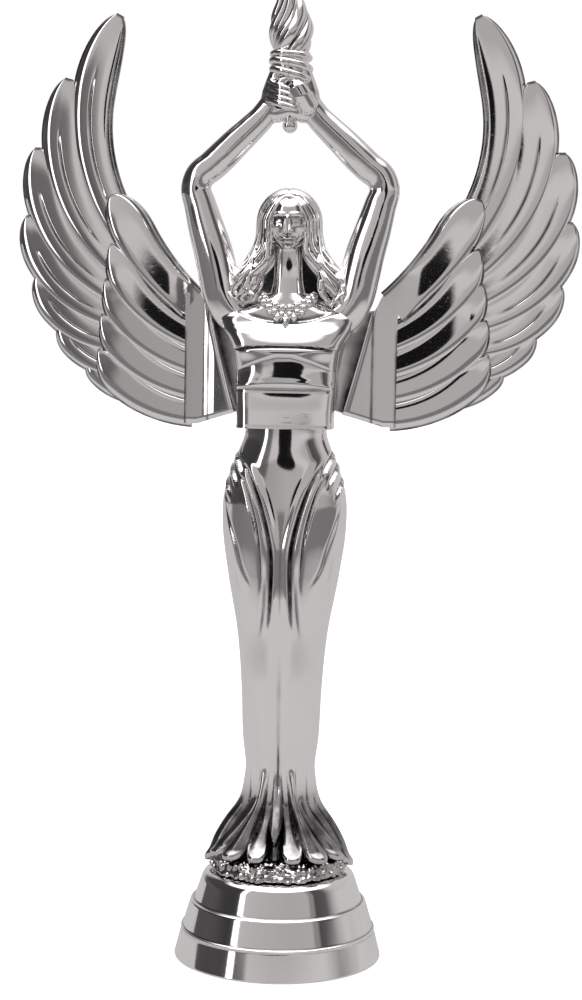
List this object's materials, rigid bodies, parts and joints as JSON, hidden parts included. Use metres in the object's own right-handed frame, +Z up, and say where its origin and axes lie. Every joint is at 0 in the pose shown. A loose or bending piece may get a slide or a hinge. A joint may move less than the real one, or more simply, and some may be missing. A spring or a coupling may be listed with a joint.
{
  "type": "winged figure trophy",
  "caption": "Chrome-plated winged victory figure in a draped gown, arms raised to hold a torch overhead, turning on a centre bolt over a weighted stepped round base.",
  "frame": {"origin": "middle of the felt's underside, on the surface the trophy stands on", "axes": "+Z up along the centre bolt, -Y the way the figure faces, +X towards the figure's own left wing"},
  "size_m": [0.168, 0.0606, 0.2817],
  "materials": {
    "plated_chrome": "bright metallised chrome over moulded plastic",
    "zinc_steel": "zinc plated",
    "ballast_iron": "as cast",
    "base_board": "plain fibreboard",
    "black_felt": "felt"
  },
  "bodies": {
    "base": {"stepped_base": "plated_chrome", "base_plate": "base_board", "ballast_ring": "ballast_iron", "felt_pad": "black_felt", "bolt_washer": "zinc_steel"},
    "figure": {"centre_bolt": "zinc_steel", "captive_nut": "zinc_steel", "ground_mound": "plated_chrome", "gown_front": "plated_chrome", "gown_back": "plated_chrome", "bodice_front": "plated_chrome", "bodice_back": "plated_chrome", "head": "plated_chrome", "hair": "plated_chrome", "left_arm": "plated_chrome", "right_arm": "plated_chrome", "torch_handle": "plated_chrome", "torch_cup": "plated_chrome", "torch_flame": "plated_chrome", "left_wing": "plated_chrome", "right_wing": "plated_chrome", "wing_saddle": "plated_chrome", "wing_screw_left_upper": "zinc_steel", "wing_screw_left_lower": "zinc_steel", "wing_screw_right_upper": "zinc_steel", "wing_screw_right_lower": "zinc_steel"}
  },
  "joints": [
    {"name": "figure_turn", "type": "hinge", "parent": "base", "child": "figure", "pos_m": [0, 0, 0.0259], "axis": [0, 0, 1], "continuous": true}
  ]
}
